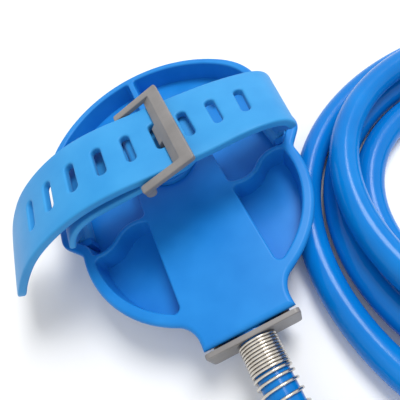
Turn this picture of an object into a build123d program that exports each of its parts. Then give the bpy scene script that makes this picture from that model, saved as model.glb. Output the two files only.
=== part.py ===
from build123d import *
import math
import os

os.makedirs("parts", exist_ok=True)

# Hand-worn bathing sprayer. Millimetres, +Z up, +Y towards the fingers, +X to the hose's side.
# The origin is the tip of the middle scrub nub, on the table that the tool lies on.

# Body outline, seen from the palm side
tray_half_width = 55.5
tray_top_y = 74.5
tray_side_top_y = 30.0
tray_side_radius = 34.0
tray_foot_y = -16.4
tray_foot_rise = 8.4
tray_foot_radius = 9.0
step_blend_radius = 3.0
ear_step = 7.7
ear_radius = 46.5
ear_widest_y = -18.0
neck_half_width = 16.5
neck_straight = 2.86379
neck_blend_radius = 8.5

# Heights from the table up
nub_height = 5.0
pad_thickness = 2.5
plate_thickness = 2.0
chamber_height = 2.0
floor_thickness = 2.0
recess_depth = 9.5

# Back shell
wall_draft = 12.0
foot_inset = 8.6
neck_foot_inset = 2.2
rim_width = 4.6
rim_round = 1.7
spine_half_width = 18.0
spine_end_y = 34.0
spine_wall = 2.7
channel_half_width = 9.5
rib_y = -17.0
rib_thickness = 2.0
rib_sag = 3.2
rib_end_inset = 0.8
finger_rib_width = 3.0
recess_corner_radius = 2.0
recess_draft = 4.0
recess_edge_round = 0.9
seat_wall = 1.4
plate_clearance = 0.15
shoulder_width = 2.8
gasket_width = 1.6
gasket_height = 1.2
gasket_clearance = 0.05
boss_radius = 3.6
boss_height = 5.0
boss_centres = ((36.0, 36.0), (-36.0, 36.0), (13.2, -45.0), (-13.2, -45.0))
screw_radius = 1.3
screw_clearance = 0.05
screw_length = 9.0
screw_head_radius = 2.6
screw_head_height = 1.6
screw_head_clearance = 0.4

# Spray plate and scrub pad
pad_inset = 0.4
nub_base_radius = 2.7
nub_tip_radius = 1.7
nub_ring_radii = (13.0, 26.0, 39.0)
nub_ring_counts = (6, 12, 18)
jet_ring_radii = (19.5, 32.5)
jet_ring_counts = (9, 15)
jet_radius = 0.8
jet_window_radius = 1.7

# Press button and valve, on one upright axis in the spine
valve_y = 6.0
valve_pocket_radius = 13.8
button_radius = 12.0
button_clearance = 0.2
button_proud = 2.4
button_round = 1.2
button_flange_radius = 13.4
button_flange_thickness = 1.6
button_flange_gap = 0.3
button_travel = 2.5
stem_radius = 2.4
plunger_radius = 4.4
plunger_length = 2.4
valve_body_radius = 9.2
valve_body_height = 6.0
valve_bore_radius = 4.5
valve_base = 1.5
valve_outlet_radius = 2.0
valve_port_radius = 1.2
valve_port_lift = 0.6
spring_seat_inner = 6.2
spring_seat_outer = 8.3
spring_seat_depth = 3.5
return_wire_radius = 0.4
return_turns = 3.5
o_ring_radius = 0.5

# Hose, strain relief and inlet
hose_radius = 5.5
hose_z = 15.1
hose_clearance = 0.1
hose_lift = 0.1
socket_depth = 13.5
barb_length = 12.0
barb_radius = 3.4
barb_tip_radius = 3.0
barb_flange_radius = 5.4
barb_flange_length = 1.8
barb_bore_radius = 2.2
barb_clearance = 0.05
cap_thickness = 1.6
cap_gap = 0.4
cap_half_width = 16.6
cap_height = 13.4
cap_corner_radius = 1.8
cap_round = 0.4
cap_peg_radius = 1.5
cap_peg_x = 12.4
cap_peg_length = 5.0
peg_clearance = 0.05
relief_wire_radius = 0.45
relief_hose_gap = 0.35
relief_close_turns = 8
relief_close_pitch = 1.36
relief_open_turns = 5
relief_open_growth = 0.55

# Hose coil on the table
coil_x = 117.8
coil_y = -80.4
coil_drift = 3.4
coil_outer_radius = 97.0
coil_inward_step = 16.5
coil_lower_turns = 2.75
coil_climb_turns = 0.5
coil_outward_step = 13.0
coil_top_shift = 8.5
coil_top_slide = 6.0
coil_slide_turns = 0.75
coil_upper_turns = 1.0
coil_layer_gap = 0.6
coil_right_squeeze = 0.88
coil_front_squeeze = 0.95

# Tap connector at the far end of the hose
connector_z = 13.2
connector_x = 177.2
hose_end_y = 48.0
lead_end_run = 17.0
tail_run = 25.0
tail_end_run = 26.0
ferrule_length = 14.0
ferrule_wall = 1.1
ferrule_clearance = 0.05
nut_gap = 1.4
nut_radius = 13.0
nut_length = 18.0
nut_back_wall = 3.0
nut_relief_length = 5.2
nut_relief_radius = 9.8
thread_radius = 9.315
nut_flutes = 18
nut_flute_radius = 1.0
nut_chamfer = 0.8
tail_neck_radius = 6.2
tail_neck_clearance = 0.1
tail_flange_radius = 8.9
tail_flange_length = 2.4
tail_end_gap = 0.1
washer_thickness = 2.4
washer_bore_radius = 4.0

# Hand strap, buckle strap and buckle
strap_y = -6.8
strap_width = 32.0
strap_thickness = 3.0
buckle_strap_width = 30.0
buckle_strap_thickness = 2.4
slot_length = 13.4
slot_width = 3.6
slot_pitch = 10.8
slot_count = 9
first_slot_reach = 36.5
engaged_slot = 3
anchor_x = 46.3
anchor_z = 17.6
anchor_leg_top_z = 23.6
anchor_leg_near_y = -8.5
anchor_leg_far_y = 9.0
loop_radius = 3.7
pin_radius = 1.5
pin_clearance = 0.03
loop_clearance = 0.1
lug_thickness = 3.0
lug_gap = 0.3
lug_half_width = 3.4
pocket_clearance = 0.2
hand_strap_bulge = 0.5
buckle_strap_bulge = 0.3
shoulder_drop = 0.8
tongue_end_x = 16.0
tongue_drop = 1.3
tail_corner_radius = 12.0
bar_reach = 10.0
bar_drop = 3.3
bar_radius = 1.5
bar_clearance = 0.05
sleeve_wall = 1.2
frame_side_width = 3.4
frame_side_gap = 0.8
frame_side_height = 3.4
frame_round = 1.2
cross_bar_reach = 0.9
cross_bar_width = 6.5
cross_bar_gap = 0.5
cross_bar_height = 3.8
cross_bar_chamfer = 1.6
tooth_reach = 1.3
tooth_thickness = 1.8
tooth_width = 9.0

# Heights that follow
plate_bottom_z = nub_height + pad_thickness
chamber_bottom_z = plate_bottom_z + plate_thickness
floor_bottom_z = chamber_bottom_z + chamber_height
floor_z = floor_bottom_z + floor_thickness
rim_top_z = floor_z + recess_depth
spine_ceiling_z = rim_top_z - spine_wall
plate_inset = foot_inset + seat_wall
chamber_inset = plate_inset + shoulder_width
lie_z = hose_radius + hose_lift
leg_width = anchor_leg_far_y - anchor_leg_near_y
leg_middle_y = (anchor_leg_far_y + anchor_leg_near_y) / 2
pin_length = leg_width + 2 * lug_gap + 2 * lug_thickness


def route_radii(points):
    """Corner radii of a hose or strap route, each as large as its two runs allow."""
    corners = [Vector(*point) for point in points]
    radii = []
    for before, corner, after in zip(corners, corners[1:], corners[2:]):
        run_in = corner - before
        run_out = after - corner
        half_turn = math.radians(run_in.get_angle(run_out)) / 2
        radii.append(0.45 * min(run_in.length, run_out.length) / math.tan(half_turn))
    return radii


def biarc(start, start_tangent, end, end_tangent):
    """Two arcs that leave one point along its tangent and reach the next along its own."""
    span = end - start
    both = start_tangent + end_tangent
    spread = 2 * (1 - start_tangent.dot(end_tangent))
    lean = span.dot(both)
    if spread < 1e-9:
        reach = span.dot(span) / (2 * lean)
    else:
        reach = (math.sqrt(lean * lean + spread * span.dot(span)) - lean) / spread
    middle = (start + end + (start_tangent - end_tangent) * reach) / 2
    middle_tangent = (end - end_tangent * reach) - (start + start_tangent * reach)
    TangentArc(start, middle, tangent=start_tangent)
    TangentArc(middle, end, tangent=middle_tangent.normalized())


def winding(place, turns, steps_per_turn, straight):
    """A wound path through place(turn), as biarcs, with a straight length at each end."""
    count = round(turns * steps_per_turn)
    small = 1e-4
    marks = [turns * step / count for step in range(count + 1)]
    spots = [place(mark) for mark in marks]
    headings = [(place(mark + small) - place(mark - small)).normalized() for mark in marks]
    Line(spots[0] - headings[0] * straight, spots[0])
    for step in range(count):
        biarc(spots[step], headings[step], spots[step + 1], headings[step + 1])
    Line(spots[-1], spots[-1] + headings[-1] * straight)
    return spots[0] - headings[0] * straight, headings[0]


def least_gap(path, tube_radius, turn_length, samples):
    """Smallest clear distance between separate turns of a wound tube, measured on points."""
    spots = [path.position_at(step / samples) for step in range(samples + 1)]
    skip = int(0.6 * turn_length / path.length * samples)
    least = math.inf
    for first in range(samples + 1):
        for second in range(first + skip, samples + 1):
            least = min(least, (spots[second] - spots[first]).length)
    return least - 2 * tube_radius


def report_tube(name, tube, path, radius):
    """Prints how a tube's volume compares with its section times its length."""
    plain = math.pi * radius * radius * path.length
    print(f"{name}: length {path.length:.1f} mm, volume ratio {tube.volume / plain:.4f}")


# Outlines shared by the shells, plates and seals
corner_rise = (tray_top_y - tray_side_top_y - tray_side_radius) / (tray_half_width - tray_side_radius)
corner_turn = 90 - 2 * math.degrees(math.atan(corner_rise))
corner_reach = (tray_half_width - tray_side_radius) / math.cos(math.radians(corner_turn))
tray_top_radius = tray_side_radius + corner_reach
ear_half_width = tray_half_width - ear_step
ear_centre_x = ear_half_width - ear_radius
ear_turn = math.degrees(math.acos(-ear_centre_x / ear_radius))
ear_neck_y = ear_widest_y - math.sqrt(ear_radius**2 - (neck_half_width - ear_centre_x) ** 2)
neck_blend_centre_x = neck_half_width + neck_blend_radius - ear_centre_x
neck_blend_y = ear_widest_y - math.sqrt((ear_radius + neck_blend_radius) ** 2 - neck_blend_centre_x**2)
neck_end_y = neck_blend_y - neck_straight
rib_outer_x = ear_half_width - rib_end_inset
tray_foot_end_y = tray_foot_y + tray_foot_rise

with BuildSketch() as grip_outline:
    with BuildLine():
        CenterArc((ear_centre_x, ear_widest_y), ear_radius, -ear_turn, ear_turn)
        Polyline(
            (ear_half_width, ear_widest_y),
            (ear_half_width, tray_foot_y),
            (tray_half_width, tray_foot_end_y),
            (tray_half_width, tray_side_top_y),
        )
        side_arc = JernArc((tray_half_width, tray_side_top_y), (0, 1), tray_side_radius, corner_turn)
        JernArc(side_arc @ 1, side_arc % 1, tray_top_radius, 90 - corner_turn)
        mirror(about=Plane.YZ)
    make_face()
    step_corners = grip_outline.vertices().filter_by_position(Axis.Y, tray_foot_y - 0.01, tray_foot_y + 0.01)
    fillet(step_corners, step_blend_radius)
    foot_corners = grip_outline.vertices().filter_by_position(
        Axis.Y, tray_foot_end_y - 0.01, tray_foot_end_y + 0.01
    )
    fillet(foot_corners, tray_foot_radius)

with BuildSketch() as body_outline:
    add(grip_outline.sketch)
    with Locations((0, (neck_end_y + ear_widest_y) / 2)):
        Rectangle(2 * neck_half_width, ear_widest_y - neck_end_y)
    neck_corners = body_outline.vertices().filter_by_position(Axis.Y, ear_neck_y - 0.01, ear_neck_y + 0.01)
    fillet(neck_corners, neck_blend_radius)

# Hand recesses: what is left inside the rim by the spine, the finger rib and the curved ribs
with BuildSketch() as recess_outline:
    add(body_outline.sketch)
    offset(amount=-rim_width)
    with Locations((0, spine_end_y - spine_half_width)):
        Circle(spine_half_width, mode=Mode.SUBTRACT)
    with Locations((0, (spine_end_y - spine_half_width + neck_end_y) / 2)):
        Rectangle(2 * spine_half_width, spine_end_y - spine_half_width - neck_end_y, mode=Mode.SUBTRACT)
    with Locations((0, (spine_end_y + tray_top_y) / 2 - rib_thickness)):
        Rectangle(finger_rib_width, tray_top_y - spine_end_y, mode=Mode.SUBTRACT)
    rib_inner_x = spine_half_width - rib_thickness
    rib_quarter = (rib_outer_x - rib_inner_x) / 4
    for side in (1, -1):
        rib_middle = (side * (rib_inner_x + 2 * rib_quarter), rib_y)
        with BuildLine():
            ThreePointArc(
                (side * rib_inner_x, rib_y),
                (side * (rib_inner_x + rib_quarter), rib_y - side * rib_sag),
                rib_middle,
            )
            ThreePointArc(
                rib_middle,
                (side * (rib_outer_x - rib_quarter), rib_y + side * rib_sag),
                (side * rib_outer_x, rib_y),
            )
        trace(line_width=rib_thickness, mode=Mode.SUBTRACT)

# Back shell: drafted dish with a rounded rim, two ear recesses, curved ribs and a hollow spine
with BuildPart() as back_shell:
    with BuildSketch(Plane.XY.offset(rim_top_z)):
        add(body_outline.sketch)
    extrude(amount=-(rim_top_z - floor_bottom_z), taper=wall_draft)
    fillet(back_shell.faces().sort_by(Axis.Z)[-1].edges(), rim_round)
    with BuildSketch(Plane.XY.offset(plate_bottom_z)):
        add(grip_outline.sketch)
        offset(amount=-foot_inset)
        with Locations((0, (neck_end_y + ear_widest_y) / 2)):
            Rectangle(2 * (neck_half_width - neck_foot_inset), ear_widest_y - neck_end_y)
    extrude(amount=floor_bottom_z - plate_bottom_z)
    for recess in recess_outline.sketch.faces():
        recess_core = offset(recess, amount=-recess_corner_radius, mode=Mode.PRIVATE)
        with BuildSketch(Plane.XY.offset(rim_top_z)):
            add(offset(recess_core, amount=recess_corner_radius, mode=Mode.PRIVATE))
        extrude(amount=-recess_depth, taper=recess_draft, mode=Mode.SUBTRACT)
    top_face = back_shell.faces().filter_by(Axis.Z).sort_by(Axis.Z)[-1]
    fillet(top_face.inner_wires().edges(), recess_edge_round)
    for side in (1, -1):
        with BuildSketch(Plane.XY.offset(floor_z)):
            with Locations((side * anchor_x, leg_middle_y)):
                Rectangle(2 * (loop_radius + pocket_clearance), leg_width + 2 * lug_gap)
        extrude(amount=recess_depth, mode=Mode.SUBTRACT)
    # Lugs that carry the strap pins, and bosses for the screws
    with BuildSketch(Plane.XY.offset(floor_z)):
        for side in (1, -1):
            for lug_y in (
                anchor_leg_near_y - lug_gap - lug_thickness / 2,
                anchor_leg_far_y + lug_gap + lug_thickness / 2,
            ):
                with Locations((side * anchor_x, lug_y)):
                    Rectangle(2 * lug_half_width, lug_thickness)
    extrude(amount=anchor_z - floor_z + lug_half_width)
    with BuildSketch(Plane.XY.offset(floor_z)):
        with Locations(*boss_centres[:2]):
            Circle(boss_radius)
    extrude(amount=boss_height)
    for side in (1, -1):
        with Locations(Location((side * anchor_x, leg_middle_y, anchor_z), (90, 0, 0))):
            Cylinder(pin_radius + pin_clearance, pin_length, mode=Mode.SUBTRACT)
    # Seat of the spray plate, gasket groove, water chamber, channel and valve pocket, cut from below
    with BuildSketch(Plane.XY.offset(plate_bottom_z)):
        add(grip_outline.sketch)
        offset(amount=-plate_inset)
    extrude(amount=plate_thickness, mode=Mode.SUBTRACT)
    with BuildSketch(Plane.XY.offset(chamber_bottom_z)):
        add(grip_outline.sketch)
        offset(amount=-chamber_inset)
        with Locations(*boss_centres):
            Circle(boss_radius, mode=Mode.SUBTRACT)
    extrude(amount=chamber_height, mode=Mode.SUBTRACT)
    with BuildSketch(Plane.XY.offset(chamber_bottom_z)) as groove:
        add(grip_outline.sketch)
        offset(amount=-(plate_inset + (shoulder_width - gasket_width) / 2))
        groove_core = offset(groove.sketch, amount=-gasket_width, mode=Mode.PRIVATE)
        add(groove_core, mode=Mode.SUBTRACT)
    extrude(amount=gasket_height, mode=Mode.SUBTRACT)
    with BuildSketch(Plane.XY.offset(floor_bottom_z)):
        channel_start_y = neck_end_y + socket_depth + barb_flange_length
        with Locations((0, (channel_start_y + valve_y) / 2)):
            Rectangle(2 * channel_half_width, valve_y - channel_start_y)
        with Locations((0, valve_y)):
            Circle(valve_pocket_radius)
    extrude(amount=spine_ceiling_z - floor_bottom_z, mode=Mode.SUBTRACT)
    with BuildSketch(Plane.XY.offset(spine_ceiling_z)):
        with Locations((0, valve_y)):
            Circle(button_radius + button_clearance)
    extrude(amount=spine_wall, mode=Mode.SUBTRACT)
    # Hose socket and peg holes in the neck's end, and pilot holes for the screws
    with BuildSketch(Plane.XZ.offset(-neck_end_y)):
        with Locations((0, hose_z)):
            Circle(hose_radius + hose_clearance)
    extrude(amount=-(socket_depth + barb_flange_length), mode=Mode.SUBTRACT)
    with BuildSketch(Plane.XZ.offset(-neck_end_y)):
        with Locations((cap_peg_x, hose_z), (-cap_peg_x, hose_z)):
            Circle(cap_peg_radius + peg_clearance)
    extrude(amount=-(cap_peg_length + peg_clearance), mode=Mode.SUBTRACT)
    with BuildSketch(Plane.XY.offset(chamber_bottom_z)):
        with Locations(*boss_centres):
            Circle(screw_radius + screw_clearance)
    extrude(amount=screw_length - plate_thickness + screw_clearance, mode=Mode.SUBTRACT)
back_shell.part.label = "back_shell"
export_step(back_shell.part, "parts/back_shell.step")

# Spray plate: closes the water chamber and holds the jets
with BuildPart() as spray_plate:
    with BuildSketch(Plane.XY.offset(plate_bottom_z)):
        add(grip_outline.sketch)
        offset(amount=-(plate_inset + plate_clearance))
        for ring_radius, ring_count in zip(jet_ring_radii, jet_ring_counts):
            with PolarLocations(ring_radius, ring_count):
                Circle(jet_radius, mode=Mode.SUBTRACT)
        with Locations(*boss_centres):
            Circle(screw_radius + 2 * screw_clearance, mode=Mode.SUBTRACT)
    extrude(amount=plate_thickness)
spray_plate.part.label = "spray_plate"
export_step(spray_plate.part, "parts/spray_plate.step")

# Chamber gasket: a flat ring in its groove round the water chamber
with BuildPart() as chamber_gasket:
    with BuildSketch(Plane.XY.offset(chamber_bottom_z)) as gasket_ring:
        add(grip_outline.sketch)
        offset(amount=-(plate_inset + (shoulder_width - gasket_width) / 2 + gasket_clearance))
        ring_core = offset(
            gasket_ring.sketch, amount=-(gasket_width - 2 * gasket_clearance), mode=Mode.PRIVATE
        )
        add(ring_core, mode=Mode.SUBTRACT)
    extrude(amount=gasket_height - gasket_clearance)
chamber_gasket.part.label = "chamber_gasket"
export_step(chamber_gasket.part, "parts/chamber_gasket.step")

# Scrub pad: silicone skin with tapered nubs, windows for the jets and pockets for the screw heads
with BuildPart() as scrub_pad:
    with BuildSketch(Plane.XY.offset(nub_height)):
        add(grip_outline.sketch)
        offset(amount=-(foot_inset + pad_inset))
        for ring_radius, ring_count in zip(jet_ring_radii, jet_ring_counts):
            with PolarLocations(ring_radius, ring_count):
                Circle(jet_window_radius, mode=Mode.SUBTRACT)
        with Locations(*boss_centres):
            Circle(screw_head_radius + screw_head_clearance, mode=Mode.SUBTRACT)
    extrude(amount=pad_thickness)
    nub_places = [Location((0, 0, nub_height / 2))]
    for ring_radius, ring_count in zip(nub_ring_radii, nub_ring_counts):
        for place in PolarLocations(ring_radius, ring_count):
            nub_places.append(Location((place.position.X, place.position.Y, nub_height / 2)))
    with Locations(*nub_places):
        Cone(nub_tip_radius, nub_base_radius, nub_height)
scrub_pad.part.label = "scrub_pad"
export_step(scrub_pad.part, "parts/scrub_pad.step")

# Plate screws: pan heads under the plate, shanks in the shell's bosses
with BuildPart() as plate_screws:
    for boss_x, boss_y in boss_centres:
        with BuildSketch(Plane.XY.offset(plate_bottom_z)):
            with Locations((boss_x, boss_y)):
                Circle(screw_radius)
        extrude(amount=screw_length)
        with BuildSketch(Plane.XY.offset(plate_bottom_z)):
            with Locations((boss_x, boss_y)):
                Circle(screw_head_radius)
        extrude(amount=-screw_head_height)
plate_screws.part.label = "plate_screws"
export_step(plate_screws.part, "parts/plate_screws.step")

# Press button: domed cap held under the spine's wall by its flange
flange_top_z = spine_ceiling_z - button_flange_gap
flange_bottom_z = flange_top_z - button_flange_thickness
with BuildPart() as press_button:
    with BuildSketch(Plane.XY.offset(flange_bottom_z)):
        with Locations((0, valve_y)):
            Circle(button_flange_radius)
    extrude(amount=button_flange_thickness)
    with BuildSketch(Plane.XY.offset(flange_top_z)):
        with Locations((0, valve_y)):
            Circle(button_radius)
    extrude(amount=rim_top_z + button_proud - flange_top_z)
    fillet(press_button.faces().sort_by(Axis.Z)[-1].edges(), button_round)
press_button.part.label = "press_button"
export_step(press_button.part, "parts/press_button.step")

# Valve body: cup with a bore for the plunger, a seat for the return spring, an inlet port and an outlet
valve_top_z = chamber_bottom_z + valve_body_height
with BuildPart() as valve_body:
    with BuildSketch(Plane.XY.offset(chamber_bottom_z)):
        with Locations((0, valve_y)):
            Circle(valve_body_radius)
            Circle(valve_outlet_radius, mode=Mode.SUBTRACT)
    extrude(amount=valve_body_height)
    with BuildSketch(Plane.XY.offset(chamber_bottom_z + valve_base)):
        with Locations((0, valve_y)):
            Circle(valve_bore_radius)
    extrude(amount=valve_body_height - valve_base, mode=Mode.SUBTRACT)
    with BuildSketch(Plane.XY.offset(valve_top_z)):
        with Locations((0, valve_y)):
            Circle(spring_seat_outer)
            Circle(spring_seat_inner, mode=Mode.SUBTRACT)
    extrude(amount=-spring_seat_depth, mode=Mode.SUBTRACT)
    with BuildSketch(Plane.XZ.offset(-(valve_y - valve_body_radius))):
        with Locations((0, chamber_bottom_z + valve_base + valve_port_radius + valve_port_lift)):
            Circle(valve_port_radius)
    extrude(amount=-valve_body_radius, mode=Mode.SUBTRACT)
valve_body.part.label = "valve_body"
export_step(valve_body.part, "parts/valve_body.step")

# Valve plunger: stem under the button with a grooved head for its seal
plunger_bottom_z = chamber_bottom_z + valve_base + button_travel + button_flange_gap
with BuildPart() as valve_plunger:
    with BuildSketch(Plane(origin=(0, valve_y, 0), x_dir=(1, 0, 0), z_dir=(0, -1, 0))):
        groove_middle_z = plunger_bottom_z + plunger_length / 2
        with BuildLine():
            Polyline(
                (0, plunger_bottom_z),
                (plunger_radius, plunger_bottom_z),
                (plunger_radius, groove_middle_z - o_ring_radius),
                (plunger_radius - 2 * o_ring_radius, groove_middle_z - o_ring_radius),
                (plunger_radius - 2 * o_ring_radius, groove_middle_z + o_ring_radius),
                (plunger_radius, groove_middle_z + o_ring_radius),
                (plunger_radius, plunger_bottom_z + plunger_length),
                (stem_radius, plunger_bottom_z + plunger_length),
                (stem_radius, flange_bottom_z),
                (0, flange_bottom_z),
                close=True,
            )
        make_face()
    revolve(axis=Axis((0, valve_y, 0), (0, 0, 1)))
valve_plunger.part.label = "valve_plunger"
export_step(valve_plunger.part, "parts/valve_plunger.step")

# Plunger seal: an O-ring in the head's groove
with BuildPart() as plunger_o_ring:
    with Locations((0, valve_y, groove_middle_z)):
        Torus(plunger_radius - o_ring_radius, o_ring_radius - gasket_clearance)
plunger_o_ring.part.label = "plunger_o_ring"
export_step(plunger_o_ring.part, "parts/plunger_o_ring.step")

# Return spring: lifts the button, wound from the seat in the valve body up to the flange
return_radius = (spring_seat_inner + spring_seat_outer) / 2
return_bottom_z = valve_top_z - spring_seat_depth + return_wire_radius + gasket_clearance
return_top_z = flange_bottom_z - return_wire_radius - gasket_clearance
return_rise = (return_top_z - return_bottom_z) / return_turns


def return_place(turn):
    """A point of the return spring after so many turns."""
    angle = 2 * math.pi * turn
    return Vector(
        return_radius * math.cos(angle),
        valve_y + return_radius * math.sin(angle),
        return_bottom_z + return_rise * turn,
    )


with BuildPart() as return_spring:
    with BuildLine() as return_path:
        return_start, return_heading = winding(return_place, return_turns, 2, 2 * return_wire_radius)
    with BuildSketch(Plane(origin=return_start, z_dir=return_heading)):
        Circle(return_wire_radius)
    sweep()
return_gap = least_gap(return_path.wire(), return_wire_radius, 2 * math.pi * return_radius, 220)
print(f"return spring gap {return_gap:.2f}")
return_spring.part.label = "return_spring"
export_step(return_spring.part, "parts/return_spring.step")

# Inlet cap: grey end bar of the neck, pegged on, with the hole that the hose and its spring come out of
cap_back_y = neck_end_y - cap_gap
cap_front_y = cap_back_y - cap_thickness
relief_radius = hose_radius + relief_hose_gap + relief_wire_radius
with BuildPart() as inlet_cap:
    with BuildSketch(Plane.XZ.offset(-cap_back_y)):
        with Locations((0, hose_z)):
            RectangleRounded(2 * cap_half_width, cap_height, cap_corner_radius)
    extrude(amount=cap_thickness)
    fillet(inlet_cap.faces().sort_by(Axis.Y)[0].edges(), cap_round)
    with BuildSketch(Plane.XZ.offset(-cap_back_y)):
        with Locations((0, hose_z)):
            Circle(hose_radius + hose_clearance)
    extrude(amount=cap_thickness, mode=Mode.SUBTRACT)
    with BuildSketch(Plane.XZ.offset(-cap_back_y)):
        with Locations((cap_peg_x, hose_z), (-cap_peg_x, hose_z)):
            Circle(cap_peg_radius)
    extrude(amount=-(cap_peg_length + cap_gap))
inlet_cap.part.label = "inlet_cap"
export_step(inlet_cap.part, "parts/inlet_cap.step")

# Hose barb: flanged tail inside the neck that the hose is pushed on
barb_flange_y = neck_end_y + socket_depth
barb_end_y = barb_flange_y - barb_length
with BuildPart() as hose_barb:
    with BuildSketch(Plane(origin=(0, 0, hose_z), x_dir=(0, 1, 0), z_dir=(1, 0, 0))):
        barb_step = barb_length / 3
        with BuildLine():
            Polyline(
                (barb_end_y, barb_bore_radius),
                (barb_end_y, barb_tip_radius),
                (barb_end_y + barb_step, barb_radius),
                (barb_end_y + barb_step, barb_tip_radius),
                (barb_end_y + 2 * barb_step, barb_radius),
                (barb_end_y + 2 * barb_step, barb_tip_radius),
                (barb_flange_y, barb_radius),
                (barb_flange_y, barb_flange_radius),
                (barb_flange_y + barb_flange_length, barb_flange_radius),
                (barb_flange_y + barb_flange_length, barb_bore_radius),
                close=True,
            )
        make_face()
    revolve(axis=Axis((0, 0, hose_z), (0, 1, 0)))
hose_barb.part.label = "hose_barb"
export_step(hose_barb.part, "parts/hose_barb.step")


def coil_place(turn):
    """A point of the hose coil after so many turns: in along the table, up, and out on top."""
    lower = min(turn, coil_lower_turns)
    upper = max(turn - coil_lower_turns, 0)
    climbed = min(upper / coil_climb_turns, 1)
    radius = coil_outer_radius - coil_inward_step * lower + coil_outward_step * upper
    shift = coil_top_shift * math.sin(math.pi * upper / (coil_climb_turns + coil_upper_turns)) ** 2
    slid = min(upper / coil_slide_turns, 1)
    slide = coil_top_slide * slid * slid * (3 - 2 * slid)
    angle = 2 * math.pi * turn - math.pi / 2
    across = radius * math.cos(angle)
    along = radius * math.sin(angle)
    return Vector(
        coil_x - coil_drift * lower + slide + (coil_right_squeeze * across if across > 0 else across),
        coil_y + coil_drift * lower + shift + (coil_front_squeeze * along if along < 0 else along),
        lie_z + (2 * hose_radius + coil_layer_gap) * climbed * climbed * (3 - 2 * climbed),
    )


# Hose coil: one unbroken tube, lying loosely in two layers
coil_turns = coil_lower_turns + coil_climb_turns + coil_upper_turns
with BuildPart() as hose_coil:
    with BuildLine() as coil_path:
        coil_start, coil_heading = winding(coil_place, coil_turns, 4, 2 * hose_radius)
    with BuildSketch(Plane(origin=coil_start, z_dir=coil_heading)):
        Circle(hose_radius)
    sweep()
coil_end = coil_place(coil_turns)
coil_end_heading = (coil_place(coil_turns + 1e-4) - coil_place(coil_turns - 1e-4)).normalized()
coil_end = coil_end + coil_end_heading * (2 * hose_radius)
coil_gap = least_gap(coil_path.wire(), hose_radius, math.pi * coil_outer_radius, 500)
print(f"hose coil gap {coil_gap:.2f}")
report_tube("hose coil", hose_coil.part, coil_path.wire(), hose_radius)
hose_coil.part.label = "hose_coil"
export_step(hose_coil.part, "parts/hose_coil.step")

# Hose lead: from the barb in the neck, straight through the spring, down to the table and round to the coil
hose_face_y = barb_flange_y - barb_clearance
lead_points = [
    (0, hose_face_y, hose_z),
    (0, -112, hose_z),
    (7, -138, 10.4),
    (28, -157, 6.2),
    (59, -169, lie_z),
    tuple(coil_start - coil_heading * lead_end_run),
    tuple(coil_start),
]
lead_radii = route_radii(lead_points)
print("lead radii", [round(radius) for radius in lead_radii])
with BuildPart() as hose_lead:
    with BuildLine() as lead_path:
        FilletPolyline(*lead_points, radius=lead_radii)
    with BuildSketch(Plane.XZ.offset(-hose_face_y)):
        with Locations((0, hose_z)):
            Circle(hose_radius)
    sweep()
    with BuildSketch(Plane.XZ.offset(-hose_face_y)):
        with Locations((0, hose_z)):
            Circle(barb_radius + barb_clearance)
    extrude(amount=barb_length + barb_clearance, mode=Mode.SUBTRACT)
report_tube("hose lead", hose_lead.part, lead_path.wire(), hose_radius)
hose_lead.part.label = "hose_lead"
export_step(hose_lead.part, "parts/hose_lead.step")

# Hose tail: from the coil's top over the turns below and down to the tap connector
tail_points = [
    tuple(coil_end),
    tuple(coil_end + coil_end_heading * tail_run),
    (connector_x, coil_end.Y + 2 * tail_run, coil_end.Z),
    (connector_x, hose_end_y - tail_end_run, connector_z),
    (connector_x, hose_end_y, connector_z),
]
tail_radii = route_radii(tail_points)
print("tail radii", [round(radius) for radius in tail_radii])
with BuildPart() as hose_tail:
    with BuildLine() as tail_path:
        FilletPolyline(*tail_points, radius=tail_radii)
    with BuildSketch(Plane.XZ.offset(-hose_end_y)):
        with Locations((connector_x, connector_z)):
            Circle(hose_radius)
    sweep()
    with BuildSketch(Plane.XZ.offset(-hose_end_y)):
        with Locations((connector_x, connector_z)):
            Circle(barb_radius + barb_clearance)
    extrude(amount=barb_length + barb_clearance, mode=Mode.SUBTRACT)
report_tube("hose tail", hose_tail.part, tail_path.wire(), hose_radius)
hose_tail.part.label = "hose_tail"
export_step(hose_tail.part, "parts/hose_tail.step")


def relief_place(turn):
    """A point of the strain relief spring: close turns at the cap, then a growing pitch."""
    angle = 2 * math.pi * turn
    opened = max(turn - relief_close_turns, 0)
    advance = relief_close_pitch * turn + relief_open_growth * opened * opened / 2
    start_y = cap_front_y - relief_wire_radius - relief_hose_gap
    return Vector(
        relief_radius * math.cos(angle),
        start_y - advance,
        hose_z + relief_radius * math.sin(angle),
    )


# Strain relief: steel spring over the hose
relief_turns = relief_close_turns + relief_open_turns
with BuildPart() as strain_relief_spring:
    with BuildLine() as relief_path:
        relief_start, relief_heading = winding(relief_place, relief_turns, 2, 2 * relief_wire_radius)
    with BuildSketch(Plane(origin=relief_start, z_dir=relief_heading)):
        Circle(relief_wire_radius)
    sweep()
relief_gap = least_gap(relief_path.wire(), relief_wire_radius, 2 * math.pi * relief_radius, 700)
print(f"strain relief gap {relief_gap:.2f}")
strain_relief_spring.part.label = "strain_relief_spring"
export_step(strain_relief_spring.part, "parts/strain_relief_spring.step")

# Tap connector: crimp ferrule, barbed tail, sealing washer and swivel nut on one axis along +Y
connector_plane = Plane(origin=(connector_x, 0, connector_z), x_dir=(0, 1, 0), z_dir=(1, 0, 0))
connector_axis = Axis((connector_x, 0, connector_z), (0, 1, 0))
nut_y = hose_end_y + nut_gap
flange_y = nut_y + nut_back_wall + tail_end_gap
flange_end_y = flange_y + tail_flange_length

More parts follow.
